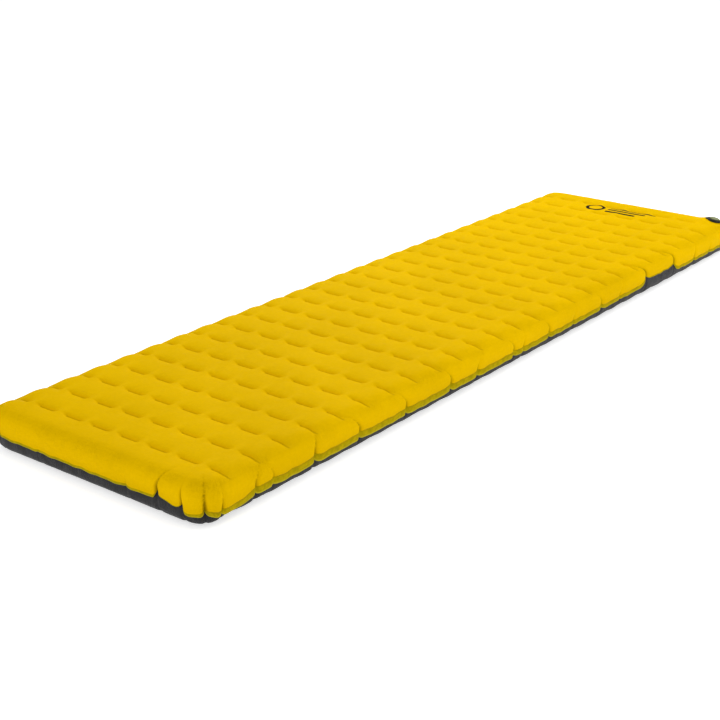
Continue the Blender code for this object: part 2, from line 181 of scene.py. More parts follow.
def lattice_lines(count, pitch, crowd):
    """Grid lines over the weld lattice, crowded towards each weld line."""
    half = CELLS // 2
    step = pitch / 2 * (np.arange(half) / half) ** crowd
    lines = [step, pitch - step[:0:-1], [pitch / 2]]
    one = np.sort(np.concatenate(lines))
    first = -(count - 1) / 2 * pitch
    grid = np.concatenate([first + i * pitch + one for i in range(count - 1)])
    return np.append(grid, -first)


def grid_lines(inner, seam, cells, lap):
    """All grid lines of one direction: the lattice's, the edge's out to the seam, and the lap's."""
    last = inner[-1]
    edge = last + (seam - last) * np.arange(1, cells + 1) / cells
    over = seam + lap * np.arange(1, LAP_CELLS + 1) / LAP_CELLS
    side = np.concatenate([edge, over])
    return np.concatenate([-side[::-1], inner, side])


def fabric_grid(skin):
    seam = CORNER + TUBE * skin.seam_turn
    lap = TUBE * skin.lap_turn
    across = grid_lines(lattice_lines(COLUMNS, COLUMN_PITCH, 1), CORE_X + seam, skin.side_cells, lap)
    along = grid_lines(lattice_lines(ROWS, ROW_PITCH, CROWD), CORE_Y + seam, skin.end_cells, lap)
    return np.stack(np.meshgrid(across, along, indexing="ij"), -1)


def nearest_core(points):
    """The nearest point of the flat core to each plan point."""
    reach = np.array([CORE_X, CORE_Y])
    return np.clip(points, -reach, reach)


def wrap(fabric):
    """For each fabric point: its nearest core point, the way out from it, and the fabric's run from it."""
    core = nearest_core(fabric)
    past = np.abs(fabric - core)
    run = past.max(-1)
    share = past.min(-1) / np.maximum(run, 1e-9) * math.pi / 4
    angle = np.where(past[..., 0] >= past[..., 1], share, math.pi / 2 - share)
    out = np.stack([np.cos(angle), np.sin(angle)], -1) * np.where(fabric < 0, -1, 1)
    return core, out, run


def rounded_square(x, y, power):
    """How much farther out a rounded square is than a circle in the direction (x, y)."""
    return (np.abs(x) ** power + np.abs(y) ** power) ** (-1 / power)


def tube_points(skin, core, out, run, turn_share=1.0, sink=0.0):
    """Places on the inflated outline, or sink below it, with the turn round the edge times turn_share."""
    turn = np.maximum(run - CORNER, 0) / TUBE * turn_share
    at_end = np.abs(out[..., 1])
    power = SIDE_SQUARENESS + (END_SQUARENESS - SIDE_SQUARENESS) * at_end
    radius = TUBE * rounded_square(np.sin(turn), np.cos(turn), power) - sink * (turn > 0)
    reach = np.minimum(run, CORNER) + radius * np.sin(turn)
    reach *= rounded_square(out[..., 0], out[..., 1], PLAN_SQUARENESS)
    height = skin.up * radius * np.cos(turn)
    return np.concatenate([core + out * reach[..., None], (TUBE + height)[..., None]], -1)


# ---- the edge's puckers ----


def all_puckers():
    """The listed puckers of the foot end and the valve's side, and irregular ones on the other two."""
    found = []

    def add(x, y, shift, size):
        height = CREASE_HEIGHT[0] + CREASE_HEIGHT[1] * size
        found.append(Pucker(x, y, shift, height, PUCKER_LIFT * size**LIFT_POWER, PUCKER_DEPTH * size))

    def add_on_side(x, y, size):
        nearest = min((row_y(j) for j in range(ROWS)), key=lambda row: abs(row - y))
        add(x, y, nearest - y, size)

    def add_on_corner(side_x, side_y, degrees, size):
        angle = math.radians(degrees)
        x = side_x * (CORE_X + (CORNER + TUBE) * math.sin(angle))
        y = side_y * (CORE_Y + (CORNER + TUBE) * math.cos(angle))
        add(x, y, 0, size)

    for y, size in VALVE_SIDE_PUCKERS:
        add_on_side(HALF_WIDTH, y, size)
    for x, lean, size in FOOT_PUCKERS:
        add(x, -HALF_LENGTH, lean, size)
    for degrees, size in CORNER_PUCKERS:
        add_on_corner(1, -1, degrees, size)
    chance = random.Random(11)
    y = -0.88
    while y < 0.89:
        add_on_side(-HALF_WIDTH, y, chance.uniform(0.6, 2.1))
        y += chance.uniform(0.055, 0.125)
    for x in (-0.20, -0.13, -0.045, 0.05, 0.115):
        place = x + chance.uniform(-0.01, 0.01)
        add(place, HALF_LENGTH, chance.uniform(-0.01, 0.01), chance.uniform(0.6, 1.8))
    for side_x, side_y in ((-1, -1), (-1, 1), (1, 1)):
        for degrees in (30, 62):
            turned_by = chance.uniform(-8, 8)
            add_on_corner(side_x, side_y, degrees + turned_by, chance.uniform(1.2, 2.2))
    return found


def outline_at(x, y):
    """The outline's point (x, y), its way out, and its way along, to +Y on the sides and +X on the ends."""
    point = np.array([x, y])
    out = point - nearest_core(point)
    out /= np.linalg.norm(out)
    along = np.array([-out[1], out[0]])
    on_side = abs(out[0]) > abs(out[1])
    forward = out[0] > 0 if on_side else out[1] < 0
    return point, out, along if forward else -along


def along_outline(foot, x, y):
    """How far each foot point is along the outline from the outline's point (x, y), round corners too."""
    point, out, along = outline_at(x, y)
    ahead = (foot - point) @ along
    return ahead + np.where(ahead < 0, -1, 1) * np.abs((foot - point) @ out)


def on_stretch(foot, place):
    """From 0 to 1, how much a foot point belongs to a stretch of the outline."""
    along = np.abs(along_outline(foot, place.x, place.y))
    return 1 - smooth_step(along, place.half - place.blend, place.half)


def edge_lift(foot, puckers):
    """How much higher the lap stands: cusped at the puckers, hitched up or hanging in places, and wavy."""
    lift = np.zeros(foot.shape[:-1])
    for pucker in puckers:
        along = along_outline(foot, pucker.x, pucker.y)
        reach = CUSP_REACH + pucker.lift
        lift = np.maximum(lift, pucker.lift * np.exp(-np.abs(along) / reach))
    on_side = np.abs(foot - nearest_core(foot))[..., 0] / (CORNER + TUBE)
    rise = SIDE_RISE * on_side + sum(place.rise * on_stretch(foot, place) for place in HITCHES + SAGS)
    turns = foot.sum(-1) * 2 * math.pi
    wave = sum(weight * np.sin(turns / period + phase) for period, weight, phase in WAVES)
    return lift + rise + WAVE_HEIGHT * wave


def creases(foot, run, seam_run, puckers):
    """How far the edge is pressed in along the puckers' creases, sharp at the middle of each."""
    dent = np.zeros(run.shape)
    for pucker in puckers:
        along = along_outline(foot, pucker.x, pucker.y)
        down = (run - (seam_run - pucker.height)) / pucker.height
        share = np.clip(down, 0, 1)
        path = along - pucker.shift * (1 - smooth_step(share, 0.0, 0.9))
        # A crease widens and deepens on its way down to the seam.
        width = np.where(path < 0, *CREASE_WIDTHS) * (0.8 + 0.4 * share)
        deep = pucker.depth * (0.36 * share**0.5 + 0.64 * share**3) * np.exp(-np.abs(path) / width)
        dent = np.maximum(dent, np.where(down > 0, deep, 0))
    return dent


# ---- inflating the fabric ----

PRESSURE = 4.0
INFLATE_FRAMES = 20
MOST_BULGE = 0.012  # no point moves farther than this from the smooth outline


def grid_faces(shape):
    """The quads of a grid of that shape, each as its four point numbers."""
    index = np.arange(shape[0] * shape[1]).reshape(shape)
    corners = (index[:-1, :-1], index[1:, :-1], index[1:, 1:], index[:-1, 1:])
    return np.stack(corners, -1).reshape(-1, 4)


def mesh_object(name, points, faces):
    mesh = bpy.data.meshes.new(name)
    mesh.from_pydata(points.tolist(), [], faces.tolist())
    made = bpy.data.objects.new(name, mesh)
    bpy.context.scene.collection.objects.link(made)
    return made


def inflate(points, rest, pinned, pressure):
    """The grid's points after the cloth, cut to the rest shape and held where pinned, is inflated."""
    made = mesh_object("inflating", points.reshape(-1, 3), grid_faces(points.shape[:2]))
    made.shape_key_add(name="Basis")
    cut = made.shape_key_add(name="cut")
    cut.data.foreach_set("co", rest.reshape(-1))
    cut.value = 0
    held = made.vertex_groups.new(name="held")
    held.add(np.nonzero(pinned.reshape(-1))[0].tolist(), 1.0, "REPLACE")
    cloth = made.modifiers.new("cloth", "CLOTH")
    fabric = cloth.settings
    fabric.rest_shape_key = cut
    fabric.vertex_group_mass = "held"
    fabric.quality = 5
    fabric.mass = 0.15
    fabric.air_damping = 4
    fabric.tension_stiffness = 25
    fabric.compression_stiffness = 25
    fabric.shear_stiffness = 8
    fabric.bending_stiffness = 0.02
    fabric.tension_damping = 10
    fabric.compression_damping = 10
    fabric.shear_damping = 10
    fabric.bending_damping = 0.5
    fabric.use_pressure = True
    fabric.uniform_pressure_force = pressure
    fabric.effector_weights.gravity = 0
    cloth.collision_settings.use_collision = False
    cloth.point_cache.frame_start = 1
    cloth.point_cache.frame_end = INFLATE_FRAMES
    scene = bpy.context.scene
    scene.frame_start = 1
    scene.frame_end = INFLATE_FRAMES
    for number in range(1, INFLATE_FRAMES + 1):
        scene.frame_set(number)
    seen = made.evaluated_get(bpy.context.evaluated_depsgraph_get())
    settled = np.empty(points.size)
    seen.data.vertices.foreach_get("co", settled)
    scene.frame_set(1)
    mesh = made.data
    bpy.data.objects.remove(made)
    bpy.data.meshes.remove(mesh)
    moved = settled.reshape(points.shape) - points
    far = np.linalg.norm(moved, axis=-1, keepdims=True)
    return points + moved * np.minimum(1, MOST_BULGE / np.maximum(far, 1e-9))


def midpoints(a):
    """Values half way between neighbours along the first axis, curved by the gentler of the two bends."""
    bend = a[2:] - 2 * a[1:-1] + a[:-2]
    bend = np.concatenate([bend[:1], bend, bend[-1:]])
    gentler = np.where(np.abs(bend[:-1]) < np.abs(bend[1:]), bend[:-1], bend[1:])
    return (a[:-1] + a[1:]) / 2 - gentler / 8


def refine(a):
    """A grid of values made twice as fine both ways, keeping its creases sharp."""
    for axis in (0, 1):
        a = np.moveaxis(a, axis, 0)
        fine = np.empty((2 * len(a) - 1,) + a.shape[1:])
        fine[::2] = a
        fine[1::2] = midpoints(a)
        a = np.moveaxis(fine, 0, axis)
    return a


# ---- the valve's own axes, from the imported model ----

SEAL_HEIGHT = 0.0019  # of the middle of the plug's seal over the fabric's plane


def valve_axes():
    """The valve's middle on the fabric's plane, and its axes: across and along its hinges, and out."""
    joints = {joint["name"]: joint for joint in frame["joints"]}
    up = -Vector(joints["bleed_press"]["axis"]).normalized()
    along = -Vector(joints["plug_hinge"]["axis"]).normalized()
    across = along.cross(up)
    ring = bpy.data.objects["plug_seal"].data.vertices
    middle = sum((v.co for v in ring), Vector()) / len(ring)
    return middle - up * SEAL_HEIGHT, across, along, up


VALVE, VALVE_U, VALVE_V, VALVE_W = valve_axes()
FABRIC_W = -0.0002  # the fabric's height in the valve's axes, between its lip and flange
SEAT_RADIUS = 0.0225
SEAT_BLEND = 0.0500  # radius where the fabric is clear of the valve's pull
SEAT_TURN = (1.1, 1.6)  # how far round the edge, in radians, the valve's pull fades out
HOLE_RADIUS = 0.0128
HOLE_REACH = 0.01  # fabric farther than this from the valve's plane is not cut


def valve_radius(points):
    """How far each point is from the valve's axis, and its height along it."""
    offset = points - np.array(VALVE)
    height = offset @ np.array(VALVE_W)
    flat = offset - height[..., None] * np.array(VALVE_W)
    return np.linalg.norm(flat, axis=-1), height


def valve_box(node):
    """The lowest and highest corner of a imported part, in the valve's own axes."""
    axes = np.array([VALVE_U, VALVE_V, VALVE_W])
    corners = np.array([v.co for v in bpy.data.objects[node].data.vertices]) - np.array(VALVE)
    placed = corners @ axes.T
    return placed.min(0), placed.max(0)


def valve_point(u, v, w):
    return VALVE + VALVE_U * u + VALVE_V * v + VALVE_W * w


# ---- the shells ----


def weld_distance(fabric):
    """How far each fabric point is from the middle of the nearest weld dash, across and along."""
    i = np.clip(np.round(fabric[..., 0] / COLUMN_PITCH + (COLUMNS - 1) / 2), 0, COLUMNS - 1)
    j = np.clip(np.round(fabric[..., 1] / ROW_PITCH + (ROWS - 1) / 2), 0, ROWS - 1)
    across = np.abs(fabric[..., 0] - column_x(i))
    along = np.abs(fabric[..., 1] - row_y(j))
    return across, along


def unwelded(skin, fabric):
    """Where the top has no weld because the valve takes its place."""
    return (skin.up > 0) & (fabric[..., 0] > column_x(COLUMNS - 1.5)) & (fabric[..., 1] > row_y(ROWS - 1.5))


def shallow_valleys(skin, points, turn, fabric):
    """Heights with a shallow valley at each weld and the fabric beside it nearly flat."""
    height = points[..., 2]
    crest = THICKNESS if skin.up > 0 else 0.0
    across, along = weld_distance(fabric)
    valley = VALLEY_DEPTH * np.clip(1 - along / VALLEY_HALF, 0, 1) ** 2
    valley += GROOVE_DEPTH * np.exp(-along / GROOVE_WIDTH)
    taper = np.where(unwelded(skin, fabric), 0, 1 - smooth_step(across, TAPER_START, TAPER_END))
    shaped = crest - skin.up * taper * valley + CLOTH_SHARE * (height - crest)
    on_top = 1 - smooth_step(turn, *VALLEY_TURN)
    radius, _ = valve_radius(points)
    return height + (shaped - height) * on_top * smooth_step(radius, SEAT_RADIUS, SEAT_BLEND)


def shell_points(skin, puckers):
    """The shell's inflated points, and for each its fabric coordinates, foot, run, lap and way out."""
    fabric = fabric_grid(skin)
    core, out, run = wrap(fabric)
    seam_run = CORNER + TUBE * skin.seam_turn
    foot = core + out * (CORNER + TUBE)
    lift = edge_lift(foot, puckers)
    turn = np.maximum(run - CORNER, 0) / TUBE
    lap = np.clip((run - seam_run) / (TUBE * skin.lap_turn), 0, 1)
    low = smooth_step(turn, LOW_START, skin.seam_turn)
    to_head = FAR_NARROWING * smooth_step(foot[..., 1], *NARROWING_ALONG)
    narrow = 1 - (1 - END_LAP / SIDE_LAP) * np.maximum(np.abs(out[..., 1]), to_head)
    narrow *= 1 - HITCH_NARROWING * sum(on_stretch(foot, place) for place in HITCHES)
    lap_turn = skin.lap_turn * np.minimum(lap / (1 - 1 / LAP_CELLS), 1)
    if skin.up > 0:
        wanted = np.minimum(turn, skin.seam_turn) + lap_turn * narrow - low * lift / TUBE
        sink = SEAM_SINK * low**6
        sink = np.where(lap > 0, LAP_SINK, sink)
        sink = np.where(lap > 1 - 0.5 / LAP_CELLS, LAP_SINK + EDGE_TURN_IN, sink)
    else:
        start = skin.lap_turn * (1 - narrow)
        wanted = np.minimum(turn, skin.seam_turn) + low * (lift / TUBE + start) + lap_turn * narrow
        sink = TUCK_SINK * low**4 + (LAP_SINK + LAP_GAP - TUCK_SINK) * smooth_step(lap, 0.3, 1)
    share = wanted / np.maximum(turn, 1e-9)
    smooth = tube_points(skin, core, out, run)
    points = tube_points(skin, core, out, run, np.where(turn > 0, share, 1), sink)
    across, along = weld_distance(fabric)
    past = np.maximum(across - WELD_HALF, 0)
    near = np.exp(-((past / WELD_FADE_ACROSS) ** 2) - along / WELD_FADE_ALONG)
    pinned = (past < 1e-4) & (along < 1e-4)
    if skin.up > 0:
        near = np.where(unwelded(skin, fabric), 0, near)
        pinned &= ~unwelded(skin, fabric)
        points[..., 2] -= near * np.maximum(points[..., 2] - WELD_TOP, 0)
    else:
        points[..., 2] += near * np.maximum(THICKNESS - WELD_TOP - points[..., 2], 0)
    pinned |= run > seam_run - 1e-6
    if skin.up > 0:
        radius, height = valve_radius(points)
        level = (1 - smooth_step(radius, SEAT_RADIUS, SEAT_BLEND)) * (1 - smooth_step(turn, *SEAT_TURN))
        points -= ((height - FABRIC_W) * level)[..., None] * np.array(VALVE_W)
        pinned |= radius < SEAT_RADIUS
    free = 1 - EDGE_HOLD * smooth_step(turn, 0.0, EDGE_HOLD_TURN)
    points += (inflate(points, smooth * EXCESS, pinned, skin.up * PRESSURE) - points) * free[..., None]
    fields = np.concatenate([fabric, foot, run[..., None], lap[..., None], out], -1)
    return refine(points), refine(fields)


def with_hole(points, faces):
    """The points and faces with the valve's round hole cut: corners just inside it move out to its edge."""
    radius, height = valve_radius(points)
    inside = (radius < HOLE_RADIUS) & (np.abs(height) < HOLE_REACH)
    middle = np.array(VALVE) + height[..., None] * np.array(VALVE_W)
    away = (points - middle) / np.maximum(radius, 1e-9)[..., None]
    moved = np.where(inside[..., None], middle + away * HOLE_RADIUS, points)
    return moved, faces[~inside[faces].all(1)]


def shell(skin, puckers):
    """The finished shell: inflated, shaped and creased, with what its material reads stored on it."""
    points, fields = shell_points(skin, puckers)
    fabric, foot, run, lap, out = np.split(fields, [2, 4, 5, 6], -1)
    run, lap = run[..., 0], lap[..., 0]
    turn = np.maximum(run - CORNER, 0) / TUBE
    points[..., 2] = shallow_valleys(skin, points, turn, fabric)
    dent = creases(foot, run, CORNER + TUBE * skin.seam_turn, puckers)
    if skin.up < 0:
        dent *= BOTTOM_DENT + (TOP_DENT_AT_LAP - BOTTOM_DENT) * lap
    outward = np.concatenate([out * np.sin(turn)[..., None], skin.up * np.cos(turn)[..., None]], -1)
    points = points - outward * dent[..., None]
    faces = grid_faces(run.shape)
    points = points.reshape(-1, 3)
    if skin.up > 0:
        points, faces = with_hole(points, faces)
    else:
        points[:, 2] = np.maximum(points[:, 2], FOOT_HEIGHT)
    used, faces = np.unique(faces, return_inverse=True)
    faces = faces.reshape(-1, 4)
    made = mesh_object(skin.name, points[used], faces)
    mesh = made.data
    corners = fabric.reshape(-1, 2)[used][faces.reshape(-1)]
    mesh.uv_layers.new(name="fabric").data.foreach_set("uv", corners.reshape(-1))
    edge = np.concatenate([foot, run[..., None]], -1).reshape(-1, 3)[used]
    mesh.attributes.new("edge", "FLOAT_VECTOR", "POINT").data.foreach_set("vector", edge.reshape(-1))
    mesh.attributes.new("lap", "FLOAT", "POINT").data.foreach_set("value", lap.reshape(-1)[used])
    mesh.attributes.new("crease", "FLOAT", "POINT").data.foreach_set("value", dent.reshape(-1)[used])
    mesh.shade_smooth()
    return made


# ---- the valve's moulded parts ----

TURN_STEPS = 144
FILLET = 0.00028
KNURLS = 48
KNURL_DEPTH = 0.00012
TAB_BLEND = 0.07  # radians over which a rim runs out into its tab
AIR_HOLES = 5
AIR_HOLE_RADIUS = 0.0016
AIR_HOLE_CIRCLE = 0.0044  # radius of the circle that the holes' middles lie on
AIR_HOLE_REACH = (-0.0045, -0.0015)  # the heights that the drill goes through
SHARP_EDGE = math.radians(40)

# How far each tab or lug reaches from the valve's middle, half its width, and its side.
BASE_LUG = (0.0212, 0.0050, -1)
PLUG_TAB = (0.0215, 0.0045, 1)
CAP_TAB = (0.0150, 0.00225, 1)

# Each profile is closed, as (radius, height) in the valve's axes.
BASE_PROFILE = (
    (0.0105, 0.0009), (0.0109, 0.0013), (0.0155, 0.0013), (0.0155, 0.0003), (0.0120, 0.0003),
    (0.0120, -0.0013), (0.0195, -0.0013), (0.0195, -0.0025), (0.0105, -0.0025),
)  # fmt: skip
PLUG_PROFILE = (
    (0.0072, 0.0043), (0.0132, 0.0043), (0.0134, 0.0040), (0.0144, 0.0040), (0.0146, 0.0043),
    (0.0170, 0.0043), (0.0170, 0.0029), (0.0102, 0.0029), (0.0098, -0.0035), (0.0015, -0.0035),
    (0.0015, -0.0025), (0.0072, -0.0025),
)  # fmt: skip
CAP_PROFILE = (
    (0.0, 0.0065), (0.0082, 0.0065), (0.0090, 0.0070), (0.0115, 0.0070), (0.0115, 0.0055),
    (0.0069, 0.0055), (0.0064, 0.0005), (0.0052, 0.0005), (0.0052, 0.0055), (0.0, 0.0055),
)  # fmt: skip


def filleted(profile):
    """The closed profile with each corner off the axis turned into a small curve."""
    found = []
    for i, corner in enumerate(profile):
        here = Vector(corner)
        if here.x == 0:
            found.append(here)
            continue
        ends = []
        for other in (Vector(profile[i - 1]), Vector(profile[(i + 1) % len(profile)])):
            edge = other - here
            ends.append(here + edge.normalized() * min(FILLET, 0.45 * edge.length))
        found += [ends[0], (ends[0] + 2 * here + ends[1]) / 4, ends[1]]
    return found


def turned(node, profile, reach, half_width, side):
    """A turned part in a packed one's place, its knurled rim running out into a tab or lug on one side."""
    corners = filleted(profile)
    rim = max(radius for radius, height in profile if height >= 0)
    half_angle = math.asin(half_width / rim)
    points = []
    for k in range(TURN_STEPS):
        angle = 2 * math.pi * k / TURN_STEPS
        from_tab = abs((angle - (0 if side > 0 else math.pi) + math.pi) % (2 * math.pi) - math.pi)
        tab = 1 - smooth_step(from_tab, half_angle - TAB_BLEND, half_angle)
        grow = (reach - rim) * tab + KNURL_DEPTH * (math.cos(KNURLS * angle) - 1) * (1 - tab)
        for radius, height in corners:
            full = radius + (grow if height > 0 and radius > rim - 2 * FILLET else 0)
            points.append(valve_point(full * math.cos(angle), full * math.sin(angle), height))
    count = len(corners)
    here = count * np.arange(TURN_STEPS)[:, None] + np.arange(count)
    after = np.roll(here, -1, axis=0)
    faces = np.stack([here, np.roll(here, -1, axis=1), np.roll(after, -1, axis=1), after], -1)
    mesh = bpy.data.meshes.new(node)
    mesh.from_pydata(points, [], faces.reshape(-1, 4).tolist())
    shaped = bmesh.new()
    shaped.from_mesh(mesh)
    bmesh.ops.remove_doubles(shaped, verts=shaped.verts, dist=0.00001)
    bmesh.ops.dissolve_degenerate(shaped, edges=shaped.edges, dist=0.000001)
    bmesh.ops.recalc_face_normals(shaped, faces=shaped.faces)
    shaped.to_mesh(mesh)
    shaped.free()
    made = bpy.data.objects.new(node + "_moulded", mesh)
    bpy.context.scene.collection.objects.link(made)
    return made


def drill_air_holes(made):
    """Cut the round air holes through the plug's floor."""
    low, high = AIR_HOLE_REACH
    drills = bmesh.new()
    turn = Matrix([VALVE_U, VALVE_V, VALVE_W]).transposed().to_4x4()
    for k in range(AIR_HOLES):
        angle = 2 * math.pi * k / AIR_HOLES
        u, v = AIR_HOLE_CIRCLE * math.cos(angle), AIR_HOLE_CIRCLE * math.sin(angle)
        place = Matrix.Translation(valve_point(u, v, (low + high) / 2)) @ turn
        bmesh.ops.create_cone(
            drills,
            cap_ends=True,
            segments=32,
            radius1=AIR_HOLE_RADIUS,
            radius2=AIR_HOLE_RADIUS,
            depth=high - low,
            matrix=place,
        )
    mesh = bpy.data.meshes.new("drills")
    drills.to_mesh(mesh)
    drills.free()
    cutter = bpy.data.objects.new("drills", mesh)
    bpy.context.scene.collection.objects.link(cutter)
    cut = made.modifiers.new("holes", "BOOLEAN")
    cut.operation = "DIFFERENCE"
    cut.solver = "EXACT"
    cut.object = cutter
    seen = made.evaluated_get(bpy.context.evaluated_depsgraph_get())
    bored = bpy.data.meshes.new_from_object(seen)
    made.modifiers.remove(cut)
    made.data = bored
    bpy.data.objects.remove(cutter)
    bpy.data.meshes.remove(mesh)


def moulded_parts():
    """The base, the plug and the cap, each as (piece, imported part, body, slot)."""
    base = turned("valve_base", BASE_PROFILE, *BASE_LUG)
    plug = turned("deflate_plug", PLUG_PROFILE, *PLUG_TAB)
    drill_air_holes(plug)
    cap = turned("inflate_cap", CAP_PROFILE, *CAP_TAB)
    return (
        (base, "valve_base", "pad", "valve_plastic"),
        (plug, "deflate_plug", "plug", "valve_plastic"),
        (cap, "inflate_cap", "cap", "valve_cap"),
    )


# ---- the valve's two living hinges ----

STRAP_STATIONS = 48
STRAP_SIDES = 32
STRAP_SQUARENESS = 6
HINGE_THINNING = 0.5  # share of the strap's thickness that is gone at its hinge line
HINGE_HALF = 0.0009  # half width of that thinner line
END_THICKNESS = 0.4  # share of the strap's thickness that is left at its rounded ends


def strap(node, joint):
    """A soft moulded strip with rounded edges in a packed strap's place, thinner where it bends."""
    low, high = valve_box(node)
    middle, half = (low + high) / 2, (high - low) / 2
    at = next(Vector(j["pos_m"]) for j in frame["joints"] if j["name"] == joint)
    hinge = (at - VALVE).dot(VALVE_U)
    points = []
    for i in range(STRAP_STATIONS + 1):
        u = low[0] + (high[0] - low[0]) * i / STRAP_STATIONS
        from_end = min(u - low[0], high[0] - u) / half[2]
        rounded = math.sqrt(1 - max(1 - from_end, 0) ** 2)
        full = END_THICKNESS + (1 - END_THICKNESS) * rounded
        thin = 1 - HINGE_THINNING * math.exp(-(((u - hinge) / HINGE_HALF) ** 2))
        for k in range(STRAP_SIDES):
            angle = 2 * math.pi * k / STRAP_SIDES
            radius = rounded_square(math.cos(angle), math.sin(angle), STRAP_SQUARENESS)
            v = middle[1] + radius * math.cos(angle) * (half[1] - (1 - full) * half[2])
            w = middle[2] + radius * math.sin(angle) * half[2] * full * thin
            points.append(valve_point(u, v, w))
    ring = np.arange(STRAP_SIDES)
    starts = STRAP_SIDES * np.arange(STRAP_STATIONS)[:, None]
    after = (ring + 1) % STRAP_SIDES
    following = starts + STRAP_SIDES
    sides = np.stack([starts + after, starts + ring, following + ring, following + after], -1)
    ends = [ring.tolist(), (STRAP_SIDES * STRAP_STATIONS + ring[::-1]).tolist()]
    faces = sides.reshape(-1, 4).tolist() + ends
    mesh = bpy.data.meshes.new(node)
    mesh.from_pydata(points, [], faces)
    mesh.shade_smooth()
    made = bpy.data.objects.new(node + "_moulded", mesh)
    bpy.context.scene.collection.objects.link(made)
    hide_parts(node)
    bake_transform(made)
    return made


# ---- materials ----


class Graph:
    """A new material's nodes, each made with its values and links in one call."""

    def __init__(self, name):
        self.material = bpy.data.materials.new(name)
        self.material.use_nodes = True
        self.tree = self.material.node_tree
        self.shader = self.tree.nodes["Principled BSDF"]

    def put(self, socket, value):
        if isinstance(value, bpy.types.NodeSocket):
            self.tree.links.new(value, socket)
        else:
            socket.default_value = value

    def shade(self, **values):
        for name, value in values.items():
            self.put(self.shader.inputs[name.replace("_", " ")], value)

    def node(self, kind, inputs, output=0, **settings):
        made = self.tree.nodes.new(kind)
        for name, value in settings.items():
            setattr(made, name, value)
        for key, value in inputs.items():
            self.put(made.inputs[key], value)
        return made.outputs[output]

    def math(self, operation, *values):
        return self.node("ShaderNodeMath", dict(enumerate(values)), operation=operation)

    def ease(self, value, low, high, start=0.0, end=1.0):
        """From start to end as the value goes from low to high."""
        inputs = {"Value": value, "From Min": low, "From Max": high, "To Min": start, "To Max": end}
        return self.node("ShaderNodeMapRange", inputs, interpolation_type="SMOOTHSTEP")

    def mix(self, share, a, b):
        """The colour a turned into b by that share."""
        inputs = {0: share, 6: a, 7: b}
        return self.node("ShaderNodeMix", inputs, output=2, data_type="RGBA")

    def tint(self, colour, by):
        """The colour made lighter or darker by a factor."""
        inputs = {0: 1.0, 6: colour, 7: self.node("ShaderNodeCombineColor", {0: by, 1: by, 2: by})}
        return self.node("ShaderNodeMix", inputs, output=2, data_type="RGBA", blend_type="MULTIPLY")

    def noise(self, coords, scale, detail=3.0, rough=0.5):
        inputs = {"Vector": coords, "Scale": scale, "Detail": detail, "Roughness": rough}
        return self.node("ShaderNodeTexNoise", inputs)

    def bump(self, height, distance, normal=None):
        inputs = {"Height": height, "Distance": distance}
        if normal is not None:
            inputs["Normal"] = normal
        return self.node("ShaderNodeBump", inputs)

    def split(self, vector):
        node = self.tree.nodes.new("ShaderNodeSeparateXYZ")
        self.put(node.inputs[0], vector)
        return node.outputs

    def join(self, *values):
        return self.node("ShaderNodeCombineXYZ", dict(enumerate(values)))

    def stored(self, name, output):
        return self.node("ShaderNodeAttribute", {}, output=output, attribute_name=name)

    def place(self):
        """The place on the object, in metres."""
        return self.node("ShaderNodeTexCoord", {}, output="Object")

    def ripple(self, value, period):
        """A wave from 0 to 1 of that period."""
        wave = self.math("SINE", self.math("MULTIPLY", value, 2 * math.pi / period))
        return self.math("MULTIPLY_ADD", wave, 0.5, 0.5)

    def to_line(self, value, pitch, phase):
        """How far the value is from the nearest of the lines at (whole number + phase) times pitch."""
        shifted = self.math("MULTIPLY_ADD", value, 1 / pitch, 0.5 - phase)
        part = self.math("SUBTRACT", self.math("FRACT", shifted), 0.5)
        return self.math("MULTIPLY", self.math("ABSOLUTE", part), pitch)


def srgb(red, green, blue):
    """A colour given as shares of a screen's red, green and blue, in the shaders' linear values."""
    parts = [c / 12.92 if c <= 0.04045 else ((c + 0.055) / 1.055) ** 2.4 for c in (red, green, blue)]
    return (*parts, 1.0)


YELLOW = srgb(0.915, 0.735, 0.0)
CREASE_SHADE_YELLOW = srgb(0.50, 0.39, 0.0)
OLIVE = srgb(0.71, 0.62, 0.03)
DARK_OLIVE = srgb(0.62, 0.55, 0.03)
SEAM_SHADOW_OLIVE = srgb(0.62, 0.51, 0.0)
RIM_YELLOW = srgb(0.70, 0.65, 0.12)
PRINT_BLACK = srgb(0.10, 0.10, 0.09)
CHARCOAL = srgb(0.115, 0.115, 0.125)
DUST = srgb(0.36, 0.34, 0.31)
WARM = srgb(1.0, 0.86, 0.0)
WEB_GREY = srgb(0.62, 0.62, 0.60)
PALE_WEB_GREY = srgb(0.70, 0.70, 0.67)
VALVE_BLACK = srgb(0.09, 0.09, 0.095)
CAP_OLIVE = srgb(0.50, 0.53, 0.33)
RUBBER_BLACK = srgb(0.13, 0.13, 0.13)

THREAD = 0.0010  # period of the weave
RIPSTOP = 0.0062  # pitch of the thicker threads
MARK_LEFT = -0.092  # where the printed mark starts across the pad
MARK_Y = 0.819  # and its middle along it
RING = 0.0245  # outer radius of the mark's ring
STROKE = 0.0080  # of the ring and the stripes
SOFT = 0.0004  # half width of a printed edge
STRIPES = (0.120, 0.100, 0.080)  # their lengths
STRIPE_PITCH = 0.0163
STRIPES_LEFT = MARK_LEFT + 2 * RING + 0.010
WELD_MARK_END = (0.0185, 0.0200)  # across from a weld's middle, where its pressed strip ends
WELD_MARK_EDGE = (0.0013, 0.0021)  # and along from it
KNURL_PERIOD = 0.0016  # of the pressed pattern in the strip


